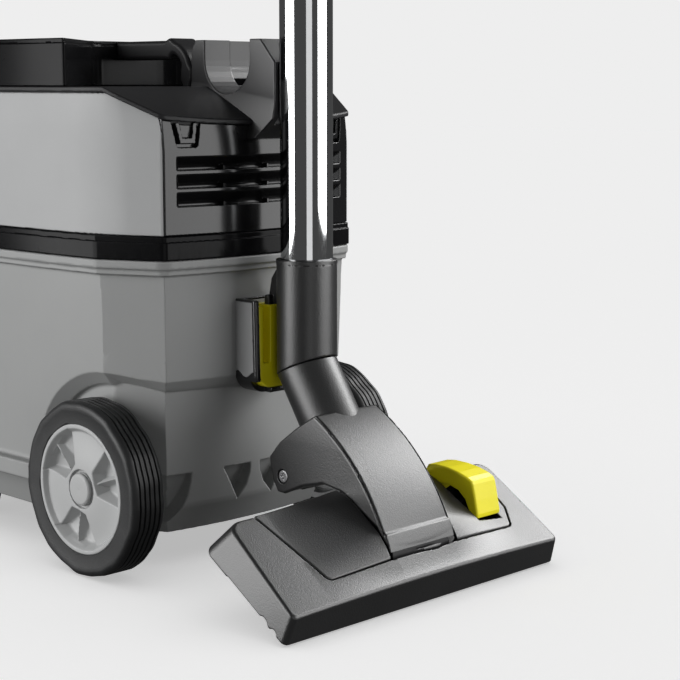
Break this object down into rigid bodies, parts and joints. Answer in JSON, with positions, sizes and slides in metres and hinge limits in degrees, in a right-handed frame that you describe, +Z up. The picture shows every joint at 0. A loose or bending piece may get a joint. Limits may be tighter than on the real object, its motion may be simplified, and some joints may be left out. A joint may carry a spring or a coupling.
{
  "type": "canister vacuum cleaner",
  "caption": "Dry canister vacuum cleaner on two large rear wheels and two castors, with its telescopic suction tube and switchable floor nozzle parked on the rear.",
  "frame": {"origin": "centre of the bounding box on the floor plane, below the machine", "axes": "+X the machine's left side, +Y its rear, where the tube and nozzle are parked, +Z up"},
  "size_m": [0.256, 0.4965, 0.735],
  "materials": {
    "container_grey": "satin",
    "panel_grey": "satin",
    "hub_grey": "satin",
    "gloss_black": "gloss",
    "satin_black": "satin",
    "nozzle_black": "fine texture",
    "yellow": "satin",
    "chrome": "polished",
    "steel": "brushed",
    "tyre_black": "matt",
    "soft_rubber": "matt",
    "bristle": "bristle",
    "fleece": "fleece",
    "filter_white": "pleated",
    "copper_motor": "satin"
  },
  "bodies": {
    "machine": {"container": "container_grey", "undercarriage": "container_grey", "inlet_socket": "satin_black", "container_seal": "soft_rubber", "bumper_band": "gloss_black", "head_floor": "satin_black", "side_panel_left": "panel_grey", "side_panel_right": "panel_grey", "rear_panel": "gloss_black", "front_panel": "gloss_black", "deck": "satin_black", "top_tray": "gloss_black", "tube_cradle": "satin_black", "carry_handle": "satin_black", "switch_module": "satin_black", "cable_gland": "soft_rubber", "motor": "copper_motor", "fan_housing": "steel", "filter_basket": "satin_black", "filter_bag": "fleece", "exhaust_filter": "filter_white", "latch_pin": "steel", "park_bracket": "gloss_black", "park_insert": "yellow", "rear_axles": "steel"},
    "latch": {"front_latch": "satin_black"},
    "switch_button": {"power_button": "panel_grey"},
    "left_wheel": {"tyre_left": "tyre_black", "hub_left": "hub_grey", "hub_cap_left": "hub_grey"},
    "right_wheel": {"tyre_right": "tyre_black", "hub_right": "hub_grey", "hub_cap_right": "hub_grey"},
    "left_castor": {"castor_fork_left": "satin_black", "castor_axle_left": "steel"},
    "right_castor": {"castor_fork_right": "satin_black", "castor_axle_right": "steel"},
    "left_castor_roller": {"castor_wheel_left": "soft_rubber"},
    "right_castor_roller": {"castor_wheel_right": "soft_rubber"},
    "wand": {"lower_tube": "chrome", "lock_sleeve": "nozzle_black", "wand_sleeve": "nozzle_black", "park_hook": "nozzle_black"},
    "wand_top": {"upper_tube": "chrome"},
    "tube_button": {"lock_button": "satin_black"},
    "yoke_carriage": {"neck": "nozzle_black", "yoke": "nozzle_black", "yoke_cover": "nozzle_black", "yoke_screws": "steel", "roller_axle": "steel", "pivot_pin": "steel"},
    "rollers": {"rear_rollers": "soft_rubber"},
    "nozzle_head": {"nozzle_base": "nozzle_black", "nozzle_cover": "nozzle_black", "nozzle_insert": "nozzle_black", "sole_plate": "steel", "pedal_pin": "steel"},
    "foot_pedal": {"pedal": "yellow"},
    "brush": {"brush_carrier": "satin_black", "brush_strips": "bristle"}
  },
  "joints": [
    {"name": "left_wheel_spin", "type": "hinge", "parent": "machine", "child": "left_wheel", "pos_m": [0, 0.0382, 0.06], "axis": [1, 0, 0], "continuous": true},
    {"name": "right_wheel_spin", "type": "hinge", "parent": "machine", "child": "right_wheel", "pos_m": [0, 0.0382, 0.06], "axis": [1, 0, 0], "continuous": true},
    {"name": "left_castor_swivel", "type": "hinge", "parent": "machine", "child": "left_castor", "pos_m": [0.068, -0.1758, 0.052], "axis": [0, 0, 1], "continuous": true},
    {"name": "right_castor_swivel", "type": "hinge", "parent": "machine", "child": "right_castor", "pos_m": [-0.068, -0.1758, 0.052], "axis": [0, 0, 1], "continuous": true},
    {"name": "left_castor_roll", "type": "hinge", "parent": "left_castor", "child": "left_castor_roller", "pos_m": [0.068, -0.1618, 0.02], "axis": [1, 0, 0], "continuous": true},
    {"name": "right_castor_roll", "type": "hinge", "parent": "right_castor", "child": "right_castor_roller", "pos_m": [-0.068, -0.1618, 0.02], "axis": [1, 0, 0], "continuous": true},
    {"name": "latch_open", "type": "hinge", "parent": "machine", "child": "latch", "pos_m": [0, -0.2437, 0.193], "axis": [1, 0, 0], "range_deg": [0, 75]},
    {"name": "power_press", "type": "slide", "parent": "machine", "child": "switch_button", "axis": [0, 0, -1], "range_m": [0, 0.004], "stiffness_N_per_m": 1200, "springref_m": -0.002},
    {"name": "park_lift", "type": "slide", "parent": "machine", "child": "wand", "axis": [0, 0, 1], "range_m": [0, 0.08]},
    {"name": "tube_extend", "type": "slide", "parent": "wand", "child": "wand_top", "axis": [0, 0, 1], "range_m": [0, 0.37]},
    {"name": "lock_press", "type": "slide", "parent": "wand", "child": "tube_button", "axis": [0, -1, 0], "range_m": [0, 0.0015], "stiffness_N_per_m": 600, "springref_m": -0.001},
    {"name": "neck_swivel", "type": "hinge", "parent": "wand", "child": "yoke_carriage", "pos_m": [0, 0.1302, 0.14], "axis": [0, -0.3987, 0.9171], "range_deg": [-30, 30]},
    {"name": "roller_spin", "type": "hinge", "parent": "yoke_carriage", "child": "rollers", "pos_m": [0, 0.1379, 0.07], "axis": [1, 0, 0], "continuous": true},
    {"name": "head_pitch", "type": "hinge", "parent": "yoke_carriage", "child": "nozzle_head", "pos_m": [0, 0.20755, 0.03093], "axis": [1, 0, 0], "range_deg": [0, 32]},
    {"name": "pedal_press", "type": "hinge", "parent": "nozzle_head", "child": "foot_pedal", "pos_m": [-0.067, 0.18624, 0.05517], "axis": [1, 0, 0], "range_deg": [-8, 0]},
    {"name": "brush_lift", "type": "slide", "parent": "nozzle_head", "child": "brush", "axis": [0, 0.5373, 0.8434], "range_m": [0, 0.0035]}
  ],
  "couplings": [
    {"joint": "brush_lift", "follows": "pedal_press", "m_per_rad": -0.025}
  ]
}
